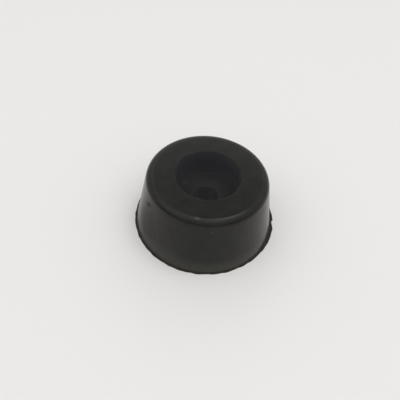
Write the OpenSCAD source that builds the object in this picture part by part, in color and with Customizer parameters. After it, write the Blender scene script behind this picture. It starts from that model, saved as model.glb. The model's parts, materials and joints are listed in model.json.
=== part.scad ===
// Rubber foot: a tapered bumper moulded in one piece, held by one screw through its middle.
// It is drawn standing on its wide mounting face, with the small tread face on top.
// Sizes are in millimetres. The screw's axis is Z, and z = 0 is the mounting face.

/* [Body] */
// Diameter of the mounting face, where the wall reaches it
base_d = 25; // [22:0.5:40]
// Diameter at which the wall's straight line would meet the tread face
tread_d = 21.3; // [18:0.1:24]
// Height from the mounting face to the tread face
height = 11.7; // [8:0.1:20]
// Radius of the rounded shoulder between the wall and the tread face
shoulder_r = 1.4; // [0.5:0.1:2.5]

/* [Head recess] */
// Diameter of the counterbore that sinks the screw's head
recess_d = 11.5; // [8:0.1:15]
// Depth of the counterbore, from the tread face to its floor
recess_depth = 5.2; // [2.5:0.1:8]
// Radius of the softened edge around the counterbore's mouth
recess_rim_r = 0.2; // [0.1:0.05:0.8]
// Radius in the corner between the counterbore's wall and its floor
recess_floor_r = 0.1; // [0.1:0.05:1.5]

/* [Screw hole] */
// Diameter of the through hole for the screw's shank
hole_d = 4.6; // [3:0.1:6]
// How far the counterbore's floor sinks from its corner to the hole's edge
dip_depth = 0.15; // [0.05:0.05:0.6]

/* [Moulding flash] */
// How far the thin flash stands out around the mounting face
flash_w = 0.26; // [0.1:0.02:0.6]
// Thickness of the flash
flash_t = 0.1; // [0.05:0.05:0.6]
// How far the flash's torn edge wanders to either side
flash_wander = 0.08; // [0:0.01:0.09]
// How far the untrimmed stretch of flash stands out at its widest
tab_w = 0.72; // [0.3:0.02:1]
// Angle at which the untrimmed stretch starts to widen, from +X towards +Y
tab_from = -50; // [-90:1:-20]
// Angle at which it is widest
tab_peak = 14; // [-10:1:30]
// Angle at which it is back to the ordinary width
tab_to = 40; // [31:1:80]

/* [Quality] */
// Facets on each full circle when drawn as a mesh
facets = 128; // [48:8:256]
// Straight runs along the flash's torn edge
flash_steps = 180; // [90:30:360]

/* [Hidden] */

base_r = base_d / 2;
tread_r = tread_d / 2;
recess_r = recess_d / 2;
recess_floor_z = height - recess_depth;
hole_r = hole_d / 2;
rubber_color = [0.13, 0.13, 0.125];
// How wide the floor's soft dip is, and the radius that it is drawn with
dip_w = recess_r - recess_floor_r - hole_r;
dip_r = (dip_w ^ 2 + dip_depth ^ 2) / (2 * dip_depth);
// Turns of each ripple along the flash's edge and where each starts, in degrees
ripples = [[1, 255], [17, 110], [29, 200], [46, 310]];
// Tears in the flash: the angle where each ends in a step, the degrees over which it deepens, and
// the share of the flash's width that it takes away
tears = [[-81, 10, 0.35], [-56, 12, 0.28], [4, 11, 0.4]];

// Corners of the half section, from the mounting face round the outside to the hole
mounting_inner = [hole_r, 0];
mounting_outer = [base_r, 0];
tread_outer = [tread_r, height];
tread_inner = [recess_r, height];
recess_corner = [recess_r, recess_floor_z];
floor_inner = [hole_r, recess_floor_z];
dip_outer = [hole_r + dip_w, recess_floor_z];
hole_edge = [hole_r, recess_floor_z - dip_depth];
dip_centre = dip_outer - [0, dip_r];

// Direction from one point to another
function direction(from, to) = (to - from) / norm(to - from);

// 0 before start, 1 after end, with a smooth rise between them
function ease(value, start, end) =
    let (t = min(max((value - start) / (end - start), 0), 1))
    t * t * (3 - 2 * t);

// The torn edge's wander at an angle, from -1 to 1
function wander(angle) =
    let (waves = [for (ripple = ripples) sin(ripple[0] * angle + ripple[1])])
    waves * [for (wave = waves) 1] / len(ripples);

// 0 on ordinary flash, 1 where the untrimmed stretch is widest
function swell(angle) = ease(angle, tab_from, tab_peak) * (1 - ease(angle, tab_peak, tab_to));

// Share of the flash's width that the tears take away at an angle
function torn(angle) =
    let (cuts = [
        for (tear = tears)
            let (end = tear[0], run = tear[1], share = tear[2])
            angle < end ? share * ease(angle, end - run, end) : 0
    ])
    cuts * [for (cut = cuts) 1];

// How far the flash stands out from the wall's foot at an angle
function flash_reach(angle) =
    (flash_w + flash_wander * wander(angle) + (tab_w - flash_w) * swell(angle)) * (1 - torn(angle));

// What lies between a sharp corner and the arc that rounds it, for the corner between two sides
module corner_sliver(before, corner, after, radius) {
    to_before = direction(corner, before);
    to_after = direction(corner, after);
    half_angle = acos(to_before * to_after) / 2;
    run = radius / tan(half_angle);
    centre = corner + direction([0, 0], to_before + to_after) * radius / sin(half_angle);
    difference() {
        polygon([corner, corner + to_before * run, centre, corner + to_after * run]);
        translate(centre) circle(r = radius, $fn = facets);
    }
}

// What the soft dip towards the screw hole takes off the counterbore's floor
module dip_sliver() {
    difference() {
        polygon([dip_outer, floor_inner, hole_edge, dip_centre]);
        translate(dip_centre) circle(r = dip_r, $fn = facets);
    }
}

// Half of the foot's section, right of the screw's axis
module half_section() {
    difference() {
        union() {
            polygon([mounting_inner, mounting_outer, tread_outer, tread_inner, recess_corner, floor_inner]);
            corner_sliver(tread_inner, recess_corner, floor_inner, recess_floor_r);
        }
        corner_sliver(mounting_outer, tread_outer, tread_inner, shoulder_r);
        corner_sliver(tread_outer, tread_inner, recess_corner, recess_rim_r);
        dip_sliver();
    }
}

// The thin ring of flash left where the mould closed, with its torn edge
module flash() {
    linear_extrude(flash_t)
        difference() {
            polygon([
                for (step = [0 : flash_steps - 1])
                    let (angle = step * 360 / flash_steps - 180, reach = base_r + flash_reach(angle))
                    reach * [cos(angle), sin(angle)]
            ]);
            circle(r = (base_r + hole_r) / 2, $fn = facets);
        }
}

module rubber_foot() {
    color(rubber_color) {
        rotate_extrude($fn = facets) half_section();
        flash();
    }
}

rubber_foot();
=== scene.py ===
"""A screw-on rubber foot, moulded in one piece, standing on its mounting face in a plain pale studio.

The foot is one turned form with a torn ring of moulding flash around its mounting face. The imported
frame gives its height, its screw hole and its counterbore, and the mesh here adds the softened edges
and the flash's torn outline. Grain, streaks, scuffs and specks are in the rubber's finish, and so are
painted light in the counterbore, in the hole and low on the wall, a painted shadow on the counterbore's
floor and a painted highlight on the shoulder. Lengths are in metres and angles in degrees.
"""

import json
import logging
import math
from dataclasses import dataclass, field
from enum import Enum

import bmesh
import bpy
from mathutils import Matrix, Vector


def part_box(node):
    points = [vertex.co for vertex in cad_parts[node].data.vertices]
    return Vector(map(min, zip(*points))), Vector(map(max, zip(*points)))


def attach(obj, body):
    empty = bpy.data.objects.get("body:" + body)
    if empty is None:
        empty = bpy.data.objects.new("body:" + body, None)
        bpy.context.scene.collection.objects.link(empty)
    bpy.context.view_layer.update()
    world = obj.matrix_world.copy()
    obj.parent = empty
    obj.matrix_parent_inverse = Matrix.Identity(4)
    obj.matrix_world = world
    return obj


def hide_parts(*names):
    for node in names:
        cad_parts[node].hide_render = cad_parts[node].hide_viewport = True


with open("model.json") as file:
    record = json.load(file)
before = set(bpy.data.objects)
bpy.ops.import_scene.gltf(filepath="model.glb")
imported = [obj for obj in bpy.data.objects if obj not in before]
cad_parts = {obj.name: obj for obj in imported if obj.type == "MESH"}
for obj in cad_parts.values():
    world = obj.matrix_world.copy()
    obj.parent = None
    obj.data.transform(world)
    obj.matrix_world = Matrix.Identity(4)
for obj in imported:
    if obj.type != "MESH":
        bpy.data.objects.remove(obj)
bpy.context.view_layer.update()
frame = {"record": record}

Socket = bpy.types.NodeSocket
Colour = tuple[float, float, float, float]

MM = 0.001
WHITE: Colour = (1.0, 1.0, 1.0, 1.0)
BLACK: Colour = (0.0, 0.0, 0.0, 1.0)
# Most of a cloudy pattern lies between these two values.
CLOUD_LOW = 0.3
CLOUD_HIGH = 0.7
# Where a Mix node keeps its share and its two colours, and where it gives the mixed colour.
MIX_INPUTS = (0, 6, 7)
MIX_OUTPUT = 2
NODE = "rubber_foot"
BODY = "root"

log = logging.getLogger("rubber_foot")


# ---------------------------------------------------------------- small helpers


def mount(name: str) -> dict:
    """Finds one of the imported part's mounts.

    Args:
        name: the mount's name in the record.

    Returns:
        The mount's entry in the record.
    """
    return next(entry for entry in frame["record"]["mounts"] if entry["name"] == name)


def ease(value: float, start: float, end: float) -> float:
    """Rises smoothly from 0 to 1 as a value goes from start to end.

    Args:
        value: the value to place.
        start: where the rise starts.
        end: where the rise ends.

    Returns:
        A share from 0 to 1.
    """
    share = min(max((value - start) / (end - start), 0.0), 1.0)
    return share * share * (3.0 - 2.0 * share)


def srgb(red: int, green: int, blue: int) -> Colour:
    """Turns a display colour into the linear colour that a shader takes.

    Args:
        red: red from 0 to 255.
        green: green from 0 to 255.
        blue: blue from 0 to 255.

    Returns:
        Linear red, green and blue, with an alpha of 1.
    """

    def linear(channel: int) -> float:
        """Undoes the display curve on one channel."""
        share = channel / 255.0
        return share / 12.92 if share <= 0.04045 else ((share + 0.055) / 1.055) ** 2.4

    return linear(red), linear(green), linear(blue), 1.0


@dataclass(frozen=True)
class Direction:
    """A direction as seen from the foot, in degrees."""

    azimuth: float
    elevation: float

    def vector(self) -> Vector:
        """Gives the direction as a unit vector."""
        around, up = math.radians(self.azimuth), math.radians(self.elevation)
        return Vector((math.cos(up) * math.cos(around), math.cos(up) * math.sin(around), math.sin(up)))


@dataclass(frozen=True)
class Cloud:
    """A cloudy pattern.

    Its feature is the size of one blotch in metres. It has some finer layers, of a given strength,
    and stretch says how much finer it is along each axis.
    """

    feature: float
    layers: float
    strength: float = 0.5
    stretch: tuple[float, float, float] = (1.0, 1.0, 1.0)


class Graph:
    """A material's or a world's node tree, with short calls that add and join nodes."""

    def __init__(self, tree: bpy.types.NodeTree) -> None:
        """Empties a tree, ready for new nodes.

        Args:
            tree: the node tree to fill.
        """
        self.tree = tree
        self.tree.nodes.clear()

    def add(self, kind: str, settings: dict[str, object] | None = None,
            **inputs: object) -> bpy.types.Node:
        """Adds a node, changes its settings and fills its inputs.

        Args:
            kind: the node's type, without its ShaderNode start.
            settings: the node's own settings, by name.
            **inputs: what each input takes, a socket to join or a plain value, by the input's name
                in lower case with underscores, or by in and its number.

        Returns:
            The new node.
        """
        node = self.tree.nodes.new("ShaderNode" + kind)
        for name, value in (settings or {}).items():
            setattr(node, name, value)
        for name, value in inputs.items():
            self.feed(self.socket(node, name), value)
        return node

    @staticmethod
    def socket(node: bpy.types.Node, name: str) -> Socket:
        """Finds an input by name, such as base_color, or by place, such as in0.

        Args:
            node: the node that has the input.
            name: the input's name in lower case with underscores, or in and its number.

        Returns:
            The input socket.
        """
        if name[:2] == "in" and name[2:].isdigit():
            return node.inputs[int(name[2:])]
        wanted = name.replace("_", " ")
        return next(s for s in node.inputs if s.enabled and s.name.lower() == wanted)

    def feed(self, target: Socket, value: object) -> None:
        """Joins a socket to a target, or sets the target to a plain value.

        Args:
            target: the input socket.
            value: an output socket, a number or a colour.
        """
        if isinstance(value, Socket):
            self.tree.links.new(value, target)
        else:
            target.default_value = value

    def maths(self, operation: str, *values: object) -> Socket:
        """Does one sum on numbers or sockets.

        Args:
            operation: the Math node's operation, such as MULTIPLY.
            *values: the numbers or sockets that it takes.

        Returns:
            The result's socket.
        """
        node = self.tree.nodes.new("ShaderNodeMath")
        node.operation = operation
        for place, value in enumerate(values):
            self.feed(node.inputs[place], value)
        return node.outputs[0]

    def blend(self, share: object, first: object, second: object) -> Socket:
        """Mixes two colours.

        Args:
            share: how much of the second shows, as a number or a socket.
            first: the colour at a share of 0.
            second: the colour at a share of 1.

        Returns:
            The mixed colour's socket.
        """
        node = self.tree.nodes.new("ShaderNodeMix")
        node.data_type = "RGBA"
        for place, value in zip(MIX_INPUTS, (share, first, second)):
            self.feed(node.inputs[place], value)
        return node.outputs[MIX_OUTPUT]

    def spread(self, value: object, low: float, high: float, to_low: float = 0.0,
               to_high: float = 1.0) -> Socket:
        """Maps a range of values to another range, clamped and smooth at both ends.

        Args:
            value: the number or socket to map.
            low: the value that gives to_low.
            high: the value that gives to_high.
            to_low: the result at low.
            to_high: the result at high.

        Returns:
            The mapped value's socket.
        """
        node = self.add("MapRange", {"interpolation_type": "SMOOTHSTEP"}, in0=value, in1=low,
                        in2=high, in3=to_low, in4=to_high)
        return node.outputs[0]

    def length(self, vector: Socket) -> Socket:
        """Measures a vector.

        Args:
            vector: the vector's socket.

        Returns:
            Its length's socket.
        """
        return self.add("VectorMath", {"operation": "LENGTH"}, in0=vector).outputs["Value"]

    def noise(self, place: Socket, cloud: Cloud) -> Socket:
        """Adds a cloudy pattern.

        Args:
            place: the coordinates to read.
            cloud: what the pattern is like.

        Returns:
            The pattern's socket, from about 0 to 1.
        """
        scaled = self.add("Mapping", vector=place, scale=[s / cloud.feature for s in cloud.stretch])
        texture = self.add("TexNoise", vector=scaled.outputs[0], scale=1.0, detail=cloud.layers,
                           roughness=cloud.strength)
        return texture.outputs["Fac"]


# ---------------------------------------------------------------- finishes


@dataclass(frozen=True)
class Spot:
    """An oval place on the rubber, which fades out from its middle.

    Its middle is given by azimuth, radius and height. It reaches by around along the wall, by up
    over its height and by deep into the rubber, and leans by turn about the line that runs straight
    out of the rubber. At its middle it shows by share and adds dull to the roughness. It starts to
    fade at core of its reach.
    """

    azimuth: float
    radius: float
    height: float
    around: float
    up: float
    deep: float = 0.4 * MM
    turn: float = 0.0
    share: float = 1.0
    dull: float = 0.0
    core: float = 0.2

    def shown(self, graph: Graph, place: Socket) -> Socket:
        """Works out how strongly the spot shows at each point.

        Args:
            graph: the material's graph.
            place: the piece's own coordinates.

        Returns:
            A share's socket, 0 outside the spot.
        """
        middle = Direction(self.azimuth, 0.0).vector() * self.radius
        middle.z = self.height
        oval = graph.add("Mapping", {"vector_type": "TEXTURE"}, vector=place, location=middle,
                         rotation=(math.radians(self.turn), 0.0, math.radians(self.azimuth)),
                         scale=(self.deep, self.around, self.up))
        return graph.spread(graph.length(oval.outputs[0]), self.core, 1.0, self.share, 0.0)


@dataclass(frozen=True)
class Mark(Spot):
    """A spot of another colour, such as a scrape, a speck, a lighter patch or a painted highlight."""

    colour: Colour = srgb(50, 50, 48)


@dataclass(frozen=True)
class Fade:
    """A soft edge between two distances from a place, such as the counterbore's wall or its floor."""

    start: float
    end: float

    def rising(self, graph: Graph, value: Socket, edge: float) -> Socket:
        """Rises from 0 to 1 across the edge.

        Args:
            graph: the material's graph.
            value: the radius or the height.
            edge: the radius or the height that the distances start from.

        Returns:
            The share's socket.
        """
        return graph.spread(value, edge + self.start, edge + self.end)

    def falling(self, graph: Graph, value: Socket, edge: float, share: float = 1.0) -> Socket:
        """Falls to 0 across the edge.

        Args:
            graph: the material's graph.
            value: the radius or the height.
            edge: the radius or the height that the distances start from.
            share: the share before the edge.

        Returns:
            The share's socket.
        """
        return graph.spread(value, edge + self.start, edge + self.end, share, 0.0)


@dataclass(frozen=True)
class PaintedLightAndFlashTint:
    """Painted light in the counterbore, in the hole and low on the wall, and the flash's brown tint.

    The painted light is pale grey. It lifts the shade in the counterbore and the hole, most in the
    counterbore's corner and on the floor next to its wall, and stands in for the floor's brighter
    reflection low on the outer wall. A painted shadow darkens the near side of the floor, and the floor
    turns lighter between back_from and back_to hole radii behind the screw's axis.
    """

    # Painted light: pale greys that lift the shade on the counterbore's wall, in its corner, on its floor,
    # next to its wall and in the hole. near_floor is a painted shadow of the near wall on the floor. skirt
    # is painted light low on the outer wall, standing in for the floor's brighter reflection there. Only
    # flash is the rubber's own tint.
    wall: Colour = srgb(68, 68, 72)
    corner: Colour = srgb(80, 80, 84)
    floor: Colour = srgb(54, 54, 55)
    ring: Colour = srgb(58, 58, 59)
    near_floor: Colour = srgb(40, 40, 41)
    hole: Colour = srgb(92, 92, 95)
    skirt: Colour = srgb(62, 62, 58)
    flash: Colour = srgb(52, 45, 41)
    recess_reach: Fade = Fade(0.1 * MM, 0.3 * MM)
    recess_top: Fade = Fade(-0.14 * MM, -0.04 * MM)
    corner_rise: Fade = Fade(0.2 * MM, 2.8 * MM)
    floor_rise: Fade = Fade(0.08 * MM, 0.25 * MM)
    ring_reach: Fade = Fade(-1.4 * MM, -0.2 * MM)
    back_from: float = -1.0
    back_to: float = 1.5
    hole_reach: Fade = Fade(0.05 * MM, 0.3 * MM)
    hole_top: Fade = Fade(-0.15 * MM, -0.02 * MM)
    skirt_reach: Fade = Fade(1.0 * MM, 2.0 * MM)
    skirt_rise: Fade = Fade(0.3 * MM, 3.6 * MM)
    skirt_share: float = 0.8
    flash_reach: Fade = Fade(0.0, 0.1 * MM)

    def recess(self, graph: Graph, radius: Socket, height: Socket, along: Socket,
               foot: "RubberFoot") -> Socket:
        """Works out the painted light and painted shadow on the counterbore's wall and floor.

        Args:
            graph: the material's graph.
            radius: the distance from the screw's axis.
            height: the height above the mounting face.
            along: how far behind the screw's axis the place is.
            foot: the foot, for its sizes.

        Returns:
            The colour's socket.
        """
        # Painted light, palest in the counterbore's corner and lighter on the floor next to its wall, with
        # a painted shadow on the floor's near side.
        wall = graph.blend(self.corner_rise.falling(graph, height, foot.floor_height),
                           self.wall, self.corner)
        floor = graph.blend(self.ring_reach.rising(graph, radius, foot.recess_radius),
                            self.floor, self.ring)
        back = graph.spread(along, self.back_from * foot.hole_radius, self.back_to * foot.hole_radius)
        floor = graph.blend(back, self.near_floor, floor)
        return graph.blend(self.floor_rise.falling(graph, height, foot.floor_height), wall, floor)

    def laid(self, graph: Graph, place: Socket, colour: Socket, foot: "RubberFoot") -> Socket:
        """Lays the painted light, the painted shadow and the flash's tint over the clean rubber.

        Args:
            graph: the material's graph.
            place: the piece's own coordinates.
            colour: the clean rubber's colour.
            foot: the foot, for its sizes.

        Returns:
            The dusted colour's socket.
        """
        split = graph.add("SeparateXYZ", vector=place)
        height = split.outputs["Z"]
        flat = graph.add("CombineXYZ", x=split.outputs["X"], y=split.outputs["Y"])
        radius = graph.length(flat.outputs[0])
        hole_top = foot.floor_height - foot.dip_depth
        # Masks for the painted light in the counterbore, in the hole and low on the outer wall, and for
        # the flash's own tint.
        inside = graph.maths("MULTIPLY", self.recess_reach.falling(graph, radius, foot.recess_radius),
                             self.recess_top.falling(graph, height, foot.height))
        bore = graph.maths("MULTIPLY", self.hole_top.falling(graph, height, hole_top),
                           self.hole_reach.falling(graph, radius, foot.hole_radius))
        low = graph.maths("MULTIPLY", self.skirt_reach.rising(graph, radius, foot.recess_radius),
                          self.skirt_rise.falling(graph, height, 0.0, self.skirt_share))
        rim = self.flash_reach.rising(graph, radius, foot.base_radius)
        # The painted light and painted shadow, then the flash's own brown tint.
        painted_light = self.recess(graph, radius, height, split.outputs["Y"], foot)
        colour = graph.blend(inside, colour, painted_light)
        colour = graph.blend(bore, colour, self.hole)
        colour = graph.blend(low, colour, self.skirt)
        return graph.blend(rim, colour, self.flash)


@dataclass(frozen=True)
class RubberFinish:
    """Black moulded rubber: satin, finely grained, with a faint pale bloom and marks, and with painted
    light, a painted shadow and a painted highlight laid on its colour.
    """

    dark: Colour = srgb(33, 33, 31)
    pale: Colour = srgb(38, 38, 35)
    painted_light: PaintedLightAndFlashTint = PaintedLightAndFlashTint()
    # A painted highlight on the shoulder, a brown scrape and three specks high on the wall, a lighter
    # patch on the counterbore's floor, and a lighter patch low on the wall.
    marks: tuple[Mark, ...] = (
        # Painted highlight: a small glint on the shoulder.
        Mark(-96.5, 9.86 * MM, 11.64 * MM, 0.75 * MM, 0.3 * MM, share=0.7, colour=srgb(70, 70, 67)),
        Mark(-149.5, 11.11 * MM, 8.85 * MM, 1.6 * MM, 0.6 * MM, deep=0.8 * MM, turn=30.0, share=0.95,
             dull=0.4, colour=srgb(50, 43, 34)),
        Mark(-82.0, 10.98 * MM, 9.6 * MM, 0.4 * MM, 0.3 * MM, share=0.6, colour=srgb(56, 56, 53)),
        Mark(-115.5, 11.05 * MM, 9.2 * MM, 0.4 * MM, 0.35 * MM, share=0.6),
        Mark(-107.0, 11.05 * MM, 9.2 * MM, 0.4 * MM, 0.35 * MM, share=0.5),
        Mark(147.5, 4.8 * MM, 6.5 * MM, 0.8 * MM, 0.5 * MM, deep=0.7 * MM, share=0.7,
             colour=srgb(66, 66, 66)),
        Mark(-118.0, 12.2 * MM, 2.0 * MM, 4.5 * MM, 3.0 * MM, deep=2.0 * MM, share=0.3,
             colour=srgb(60, 60, 56)),
    )
    # Dull, finely scratched places on the left and on the right of the wall.
    scuffs: tuple[Spot, ...] = (
        Spot(-145.0, 11.8 * MM, 5.0 * MM, 5.0 * MM, 7.0 * MM, deep=3.0 * MM, dull=0.26),
        Spot(-26.0, 11.1 * MM, 9.0 * MM, 1.8 * MM, 1.6 * MM, deep=1.5 * MM, dull=0.1),
    )
    mottle: Cloud = Cloud(2.4 * MM, layers=4.0, strength=0.6)
    streaks: Cloud = Cloud(0.7 * MM, layers=3.0, stretch=(1.0, 1.0, 0.25))
    grain: Cloud = Cloud(0.09 * MM, layers=2.0, strength=0.7)
    scratches: Cloud = Cloud(0.22 * MM, layers=2.0, strength=0.6, stretch=(1.0, 1.0, 0.18))
    scratch_low: float = 0.4
    scratch_high: float = 0.6
    grain_height: float = 0.004 * MM
    streak_height: float = 0.010 * MM
    scratch_height: float = 0.010 * MM
    roughness: float = 0.20
    roughness_wander: float = 0.02
    roughness_grain: float = 0.06
    ior: float = 1.28
    bloom: float = 0.03
    bloom_roughness: float = 0.4
    bloom_tint: Colour = srgb(255, 210, 175)

    def dullness(self, graph: Graph, mottle: Socket, streaks: Socket, grain: Socket) -> Socket:
        """Works out the clean rubber's roughness: a broad wander and a fine one about its mean.

        Args:
            graph: the material's graph.
            mottle: the broad clouds.
            streaks: the draw streaks.
            grain: the fine grain.

        Returns:
            The roughness's socket.
        """
        clouds = graph.maths("ADD", graph.maths("MULTIPLY", mottle, 0.5),
                             graph.maths("MULTIPLY", streaks, 0.5))
        broad = graph.spread(clouds, CLOUD_LOW, CLOUD_HIGH, self.roughness - self.roughness_wander,
                             self.roughness + self.roughness_wander)
        fine = graph.spread(grain, CLOUD_LOW, CLOUD_HIGH, -self.roughness_grain, self.roughness_grain)
        return graph.maths("ADD", broad, fine)

    def material(self, foot: "RubberFoot") -> bpy.types.Material:
        """Builds the rubber's material.

        Args:
            foot: the foot, for its sizes.

        Returns:
            The new material.
        """
        material = bpy.data.materials.new("black_rubber")
        material.use_nodes = True
        graph = Graph(material.node_tree)
        place = graph.add("TexCoord").outputs["Object"]
        mottle = graph.noise(place, self.mottle)
        streaks = graph.noise(place, self.streaks)
        grain = graph.noise(place, self.grain)
        colour = graph.blend(graph.spread(mottle, CLOUD_LOW, CLOUD_HIGH), self.dark, self.pale)
        colour = self.painted_light.laid(graph, place, colour, foot)
        rough = self.dullness(graph, mottle, streaks, grain)
        for mark in self.marks:
            shown = mark.shown(graph, place)
            colour = graph.blend(shown, colour, mark.colour)
            rough = graph.maths("MULTIPLY_ADD", shown, mark.dull, rough) if mark.dull else rough
        scratches = graph.spread(graph.noise(place, self.scratches), self.scratch_low, self.scratch_high)
        relief = graph.maths("MULTIPLY_ADD", streaks, self.streak_height / self.grain_height, grain)
        for scuff in self.scuffs:
            worn = scuff.shown(graph, place)
            rough = graph.maths("MULTIPLY_ADD", worn, scuff.dull, rough)
            relief = graph.maths("MULTIPLY_ADD", graph.maths("MULTIPLY", worn, scratches),
                                 self.scratch_height / self.grain_height, relief)
        bump = graph.add("Bump", strength=1.0, distance=self.grain_height, height=relief)
        skin = graph.add("BsdfPrincipled", base_color=colour, roughness=rough, ior=self.ior,
                         normal=bump.outputs[0], sheen_weight=self.bloom,
                         sheen_roughness=self.bloom_roughness, sheen_tint=self.bloom_tint)
        out = graph.add("OutputMaterial")
        graph.feed(out.inputs["Surface"], skin.outputs[0])
        return material


@dataclass(frozen=True)
class FloorFinish:
    """A plain pale matt sheet, which the camera sees melt into the backdrop far from the foot."""

    colour: Colour = srgb(237, 235, 233)
    roughness: float = 0.9
    melt: Fade = Fade(0.12, 0.40)

    def material(self, backdrop: float) -> bpy.types.Material:
        """Builds the floor's material.

        Args:
            backdrop: how bright the backdrop looks to the camera, where 1 is white.

        Returns:
            The new material.
        """
        material = bpy.data.materials.new("pale_sheet")
        material.use_nodes = True
        graph = Graph(material.node_tree)
        sheet = graph.add("BsdfPrincipled", base_color=self.colour, roughness=self.roughness,
                          specular_ior_level=0.0)
        away = graph.length(graph.add("TexCoord").outputs["Object"])
        seen = graph.add("LightPath").outputs["Is Camera Ray"]
        melted = graph.maths("MULTIPLY", seen, self.melt.rising(graph, away, 0.0))
        far = graph.add("Emission", color=WHITE, strength=backdrop)
        mixed = graph.add("MixShader", in0=melted, in1=sheet.outputs[0], in2=far.outputs[0])
        out = graph.add("OutputMaterial")
        graph.feed(out.inputs["Surface"], mixed.outputs[0])
        return material


# ---------------------------------------------------------------- the foot


class Corner(Enum):
    """The corners of the half section that are rounded, by their place in its outline."""

    SHOULDER = 4
    RIM = 5
    RECESS_FLOOR = 6
    DIP = 7
    HOLE_EDGE = 8


@dataclass(frozen=True)
class Tear:
    """A tear in the flash, which deepens along the edge and ends in a step."""

    end: float
    run: float
    share: float

    def cut(self, angle: float) -> float:
        """Works out how much of the flash's width the tear takes away.

        Args:
            angle: the angle from +X towards +Y, in degrees from -180 to 180.

        Returns:
            The share that is gone.
        """
        if angle >= self.end:
            return 0.0
        return self.share * ease(angle, self.end - self.run, self.end)


@dataclass
class Flash:
    """The thin ring of rubber that squeezed out where the mould closed, with its torn edge.

    The edge wanders in ripples, each given by its turns round the foot and the angle it starts at.
    An untrimmed stretch swells from tab_from to tab_width at tab_peak, and dies away by tab_to.
    """

    width: float = 0.26 * MM
    thickness: float = 0.10 * MM
    wander: float = 0.08 * MM
    tab_width: float = 0.72 * MM
    tab_from: float = -50.0
    tab_peak: float = 14.0
    tab_to: float = 40.0
    ripples: tuple[tuple[int, float], ...] = ((1, 255.0), (17, 110.0), (29, 200.0), (46, 310.0))
    tears: tuple[Tear, ...] = (
        Tear(-81.0, 10.0, 0.35),
        Tear(-56.0, 12.0, 0.28),
        Tear(4.0, 11.0, 0.40),
    )

    def reach(self, angle: float) -> float:
        """Works out how far the flash stands out from the wall's foot.

        Args:
            angle: the angle from +X towards +Y, in degrees from -180 to 180.

        Returns:
            The reach in metres.
        """
        waves = [math.sin(math.radians(turns * angle + start)) for turns, start in self.ripples]
        swell = ease(angle, self.tab_from, self.tab_peak) * (1.0 - ease(angle, self.tab_peak, self.tab_to))
        whole = self.width + self.wander * sum(waves) / len(waves)
        whole += (self.tab_width - self.width) * swell
        return whole * (1.0 - sum(tear.cut(angle) for tear in self.tears))


@dataclass(frozen=True)
class Round:
    """A rounded corner of the section: its radius, and how many edges its arc has."""

    radius: float
    segments: int


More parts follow.
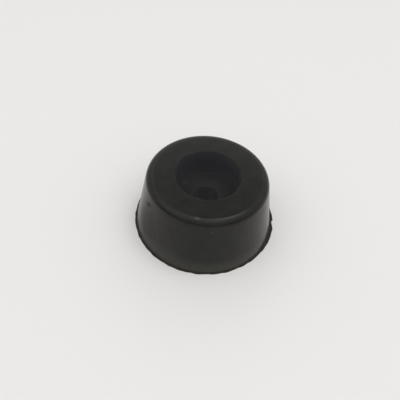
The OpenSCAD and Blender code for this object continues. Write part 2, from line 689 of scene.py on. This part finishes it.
@dataclass
class RubberFoot:
    """The moulded foot: a turned body with its counterbore, screw hole and ring of flash.

    The counterbore's floor sinks by dip_depth towards the hole. That dip is drawn as a wide round on
    a shallow corner, and its radius is dip_share of the largest that fits there.
    """

    base_radius: float = 12.5 * MM
    tread_radius: float = 10.65 * MM
    shoulder: Round = Round(1.4 * MM, 14)
    rim: Round = Round(0.1 * MM, 16)
    recess_corner: Round = Round(0.1 * MM, 12)
    hole_edge: Round = Round(0.08 * MM, 8)
    dip_depth: float = 0.15 * MM
    dip_share: float = 0.85
    dip_segments: int = 10
    wedge_steps: int = 30
    doublings: int = 4
    longest_edge: float = 0.32 * MM
    weld: float = 0.001 * MM
    sharp_angle: float = 40.0
    flash: Flash = field(default_factory=Flash)
    finish: RubberFinish = field(default_factory=RubberFinish)

    def __post_init__(self) -> None:
        """Takes the height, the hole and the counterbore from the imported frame."""
        low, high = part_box(NODE)
        self.height = high.z - low.z
        self.hole_radius = mount("screw_hole")["dims"]["r_mm"] * MM
        self.recess_radius = mount("head_recess")["dims"]["r_mm"] * MM
        self.floor_height = mount("screw_hole")["dims"]["length_mm"] * MM + self.dip_depth
        self.dip_width = self.recess_radius - self.recess_corner.radius - self.hole_radius
        self.slope = (self.base_radius - self.tread_radius) / self.height

    def corners(self) -> list[Vector]:
        """Gives the half section's sharp corners, from the mounting face round the outside.

        Returns:
            The corners, in the XZ plane.
        """
        foot = self.base_radius - self.slope * self.flash.thickness
        lip = self.base_radius + self.flash.width
        outline = (
            (self.hole_radius, 0.0),
            (lip, 0.0),
            (lip, self.flash.thickness),
            (foot, self.flash.thickness),
            (self.tread_radius, self.height),
            (self.recess_radius, self.height),
            (self.recess_radius, self.floor_height),
            (self.hole_radius + self.dip_width / 2.0, self.floor_height),
            (self.hole_radius, self.floor_height - self.dip_depth),
        )
        return [Vector((radius, 0.0, height)) for radius, height in outline]

    def section(self) -> bmesh.types.BMesh:
        """Draws the half section as a loop of edges, with its corners rounded.

        Returns:
            A bmesh that holds the loop.
        """
        bm = bmesh.new()
        loop = [bm.verts.new(corner) for corner in self.corners()]
        bm.faces.new(loop)
        dip_radius = (self.dip_width ** 2 + self.dip_depth ** 2) / (2.0 * self.dip_depth)
        rounds = {
            Corner.SHOULDER: self.shoulder,
            Corner.RIM: self.rim,
            Corner.RECESS_FLOOR: self.recess_corner,
            Corner.DIP: Round(dip_radius * self.dip_share, self.dip_segments),
            Corner.HOLE_EDGE: self.hole_edge,
        }
        for corner, arc in rounds.items():
            self.round_corner(bm, loop[corner.value], arc)
        bmesh.ops.delete(bm, geom=bm.faces[:], context="FACES_ONLY")
        for edge in list(bm.edges):
            cuts = int(edge.calc_length() / self.longest_edge)
            if cuts:
                bmesh.ops.subdivide_edges(bm, edges=[edge], cuts=cuts)
        return bm

    @staticmethod
    def round_corner(bm: bmesh.types.BMesh, corner: bmesh.types.BMVert, arc: Round) -> None:
        """Rounds one corner of the section.

        Args:
            bm: the section's bmesh.
            corner: the sharp corner.
            arc: the rounding to give it.
        """
        ends = [edge.other_vert(corner).co - corner.co for edge in corner.link_edges]
        run = arc.radius / math.tan(ends[0].angle(ends[1]) / 2.0)
        bmesh.ops.bevel(bm, geom=[corner], offset=run, offset_type="OFFSET", segments=arc.segments,
                        profile=0.5, affect="VERTICES", material=-1)

    def turn(self, bm: bmesh.types.BMesh) -> None:
        """Turns the section into a closed ring: spins one wedge, then copies it round by doubling.

        Args:
            bm: the section's bmesh.
        """
        wedge = math.tau / 2 ** self.doublings
        bmesh.ops.spin(bm, geom=bm.verts[:] + bm.edges[:], cent=(0, 0, 0), axis=(0, 0, 1),
                       dvec=(0, 0, 0), angle=wedge, steps=self.wedge_steps, use_merge=False,
                       use_normal_flip=False, use_duplicate=False)
        for _ in range(self.doublings):
            copy = bmesh.ops.duplicate(bm, geom=bm.verts[:] + bm.edges[:] + bm.faces[:])["geom"]
            bmesh.ops.rotate(bm, cent=(0, 0, 0), matrix=Matrix.Rotation(wedge, 3, "Z"),
                             verts=[part for part in copy if isinstance(part, bmesh.types.BMVert)])
            wedge *= 2.0
        bmesh.ops.remove_doubles(bm, verts=bm.verts, dist=self.weld)

    def tear_flash(self, bm: bmesh.types.BMesh) -> None:
        """Gives the flash, which is all that lies outside the wall's foot, its torn outline.

        Args:
            bm: the turned foot.
        """
        for vert in bm.verts:
            radius = math.hypot(vert.co.x, vert.co.y)
            if radius <= self.base_radius:
                continue
            angle = math.degrees(math.atan2(vert.co.y, vert.co.x))
            share = (radius - self.base_radius) / self.flash.width
            wanted = self.base_radius + share * self.flash.reach(angle)
            vert.co.x *= wanted / radius
            vert.co.y *= wanted / radius

    def build(self) -> bpy.types.Object:
        """Turns the section into the foot and dresses it.

        Returns:
            The foot, riding on its body.
        """
        bm = self.section()
        self.turn(bm)
        self.tear_flash(bm)
        bmesh.ops.recalc_face_normals(bm, faces=bm.faces)
        for face in bm.faces:
            face.smooth = True
        for edge in bm.edges:
            edge.smooth = edge.calc_face_angle(0.0) < math.radians(self.sharp_angle)
        mesh = bpy.data.meshes.new("foot_skin")
        bm.to_mesh(mesh)
        bm.free()
        mesh.materials.append(self.finish.material(self))
        piece = bpy.data.objects.new("foot_skin", mesh)
        bpy.context.scene.collection.objects.link(piece)
        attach(piece, BODY)
        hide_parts(NODE)
        return piece


# ---------------------------------------------------------------- the studio


@dataclass(frozen=True)
class Patch:
    """A soft oval patch of the room that is brighter or darker than the rest.

    It reaches wide and high degrees from its middle. It adds level at its middle, and starts to fade
    at plateau of its reach.
    """

    place: Direction
    wide: float
    high: float
    level: float
    plateau: float = 0.0

    def shown(self, graph: Graph, ray: Socket) -> Socket:
        """Works out what the patch adds in each direction.

        Args:
            graph: the world's graph.
            ray: the direction that is looked in.

        Returns:
            The patch's socket, 0 outside it.
        """
        around, up = math.radians(self.place.azimuth), math.radians(self.place.elevation)
        reach = (1.0, math.sin(math.radians(self.wide)), math.sin(math.radians(self.high)))
        turned = graph.add("Mapping", {"vector_type": "TEXTURE"}, vector=ray,
                           rotation=(0.0, -up, around), scale=reach)
        split = graph.add("SeparateXYZ", vector=turned.outputs[0])
        flat = graph.add("CombineXYZ", y=split.outputs["Y"], z=split.outputs["Z"])
        away = graph.length(flat.outputs[0])
        ahead = graph.maths("GREATER_THAN", split.outputs["X"], 0.0)
        return graph.maths("MULTIPLY", ahead, graph.spread(away, self.plateau, 1.0, self.level, 0.0))


@dataclass(frozen=True)
class Lamp:
    """A round soft lamp, with the place where it hangs.

    Its spread is the angle from its middle to its edge, as seen from the foot. Its radiance is how
    bright its face looks, where 1 is white.
    """

    name: str
    place: Direction
    spread: float
    radiance: float


@dataclass
class Studio:
    """A pale floor in a pale room, under soft lamps, with a low black flag on the near side.

    The room has the level horizon up to dome_from degrees and the level dome from dome_to degrees
    up. The dome is brighter by far_lean on the far side, and darker by as much on the near side.
    """

    floor_size: float = 3.0
    horizon: float = 0.60
    dome: float = 0.728
    dome_from: float = 12.0
    dome_to: float = 41.0
    far_lean: float = 0.144
    patches: tuple[Patch, ...] = (
        Patch(Direction(88.0, 54.5), 14.0, 15.0, -0.67, 0.5),
        Patch(Direction(90.0, 28.0), 34.0, 24.0, 0.76),
        Patch(Direction(118.0, 42.0), 16.0, 14.0, 0.4),
    )
    backdrop: float = 0.82
    lamps: tuple[Lamp, ...] = (
        Lamp("softbox", Direction(323.0, 76.7), 26.0, 0.95),
        Lamp("fill", Direction(200.0, 52.0), 22.0, 0.5),
        Lamp("window", Direction(30.0, 72.0), 8.0, 3.0),
    )
    lamp_distance: float = 0.50
    flag_distance: float = 0.50
    flag_top: float = 19.0
    flag_from: float = 190.0
    flag_to: float = 355.0
    flag_steps: int = 24
    finish: FloorFinish = FloorFinish()

    def floor(self) -> bpy.types.Object:
        """Lays the floor.

        Returns:
            The floor's object.
        """
        bm = bmesh.new()
        bmesh.ops.create_grid(bm, x_segments=2, y_segments=2, size=self.floor_size / 2.0)
        return self.stand(bm, "floor", self.finish.material(self.backdrop))

    def flag(self) -> bpy.types.Object:
        """Stands the low black flag, which the foot mirrors and no camera ray meets.

        Returns:
            The flag.
        """
        top = self.flag_distance * math.tan(math.radians(self.flag_top))
        start = Direction(self.flag_from, 0.0).vector() * self.flag_distance
        bm = bmesh.new()
        ends = [bm.verts.new(start), bm.verts.new(start + Vector((0.0, 0.0, top)))]
        edge = bm.edges.new(ends)
        bmesh.ops.spin(bm, geom=[*ends, edge], cent=(0, 0, 0), axis=(0, 0, 1), dvec=(0, 0, 0),
                       angle=math.radians(self.flag_to - self.flag_from), steps=self.flag_steps,
                       use_merge=False, use_normal_flip=False, use_duplicate=False)
        flag = self.stand(bm, "flag", FloorFinish(colour=BLACK).material(0.0))
        flag.visible_camera = False
        flag.visible_diffuse = False
        return flag

    @staticmethod
    def stand(bm: bmesh.types.BMesh, name: str, material: bpy.types.Material) -> bpy.types.Object:
        """Turns a bmesh into a piece of the stage.

        Args:
            bm: the mesh to use, which is freed.
            name: the piece's name.
            material: its material.

        Returns:
            The new object.
        """
        mesh = bpy.data.meshes.new(name)
        bm.to_mesh(mesh)
        bm.free()
        mesh.materials.append(material)
        piece = bpy.data.objects.new(name, mesh)
        bpy.context.scene.collection.objects.link(piece)
        return piece

    def hang(self, lamp: Lamp) -> bpy.types.Object:
        """Hangs a lamp so that it faces the foot.

        Args:
            lamp: the lamp.

        Returns:
            The light.
        """
        radius = self.lamp_distance * math.tan(math.radians(lamp.spread))
        data = bpy.data.lights.new(lamp.name, "AREA")
        data.shape = "DISK"
        data.size = 2.0 * radius
        area = math.pi * radius ** 2
        data.energy = lamp.radiance * math.pi * area
        light = bpy.data.objects.new(lamp.name, data)
        towards = lamp.place.vector()
        turn = towards.to_track_quat("Z", "Y").to_matrix().to_4x4()
        light.matrix_world = Matrix.Translation(towards * self.lamp_distance) @ turn
        bpy.context.scene.collection.objects.link(light)
        return light

    def room(self) -> None:
        """Fills the world with the pale room: plain at the horizon, brighter above, with its patches."""
        world = bpy.data.worlds.new("room")
        world.use_nodes = True
        bpy.context.scene.world = world
        graph = Graph(world.node_tree)
        ray = graph.add("TexCoord").outputs["Generated"]
        split = graph.add("SeparateXYZ", vector=ray)
        rise = graph.spread(split.outputs["Z"], math.sin(math.radians(self.dome_from)),
                            math.sin(math.radians(self.dome_to)))
        dome = graph.maths("MULTIPLY_ADD", split.outputs["Y"], self.far_lean, self.dome - self.horizon)
        light = graph.maths("MULTIPLY_ADD", rise, dome, self.horizon)
        for patch in self.patches:
            light = graph.maths("ADD", light, patch.shown(graph, ray))
        light = graph.maths("MAXIMUM", light, 0.0)
        seen = graph.add("LightPath").outputs["Is Camera Ray"]
        light = graph.maths("MULTIPLY_ADD", seen, graph.maths("SUBTRACT", self.backdrop, light), light)
        room = graph.add("Background", color=WHITE, strength=light)
        out = graph.add("OutputWorld")
        graph.feed(out.inputs["Surface"], room.outputs[0])

    def build(self) -> None:
        """Sets up the floor, the flag, the lamps and the room."""
        self.floor()
        self.flag()
        for lamp in self.lamps:
            self.hang(lamp)
        self.room()
        bpy.context.scene.view_settings.view_transform = "Standard"


@dataclass
class Viewpoint:
    """The camera, placed by its angle above the floor and turned a little about its own axis.

    It is moved off the line to its target, which is a point on the screw's axis, by right_of_target
    and above_target, as the camera sees them.
    """

    elevation: float = 48.89
    roll: float = -6.0
    distance: float = 100.0 * MM
    target_height: float = 5.868 * MM
    right_of_target: float = -1.045 * MM
    above_target: float = -0.502 * MM
    lens: float = 49.75
    sensor: float = 36.0
    nearest: float = 1.0 * MM
    farthest: float = 10.0

    def build(self) -> bpy.types.Object:
        """Makes the camera and hands it to the scene.

        Returns:
            The camera.
        """
        rise = math.radians(self.elevation)
        turn = Matrix.Rotation(math.radians(90.0 - self.elevation), 3, "X")
        roll = Matrix.Rotation(math.radians(self.roll), 3, "Z")
        axes = turn @ roll.inverted()
        back = Vector((0.0, -math.cos(rise), math.sin(rise)))
        place = Vector((0.0, 0.0, self.target_height)) + back * self.distance
        place += axes @ Vector((self.right_of_target, self.above_target, 0.0))
        data = bpy.data.cameras.new("camera")
        data.lens = self.lens
        data.sensor_width = self.sensor
        data.clip_start = self.nearest
        data.clip_end = self.farthest
        camera = bpy.data.objects.new("camera", data)
        camera.matrix_world = Matrix.Translation(place) @ axes.to_4x4()
        bpy.context.scene.collection.objects.link(camera)
        bpy.context.scene.camera = camera
        return camera


def main() -> None:
    """Builds the camera, the studio and the foot, and logs the foot's face count."""
    logging.basicConfig(level=logging.INFO, format="%(name)s: %(message)s")
    Viewpoint().build()
    Studio().build()
    piece = RubberFoot().build()
    log.info("%s: %d faces", piece.name, len(piece.data.polygons))


if __name__ == "__main__":
    main()
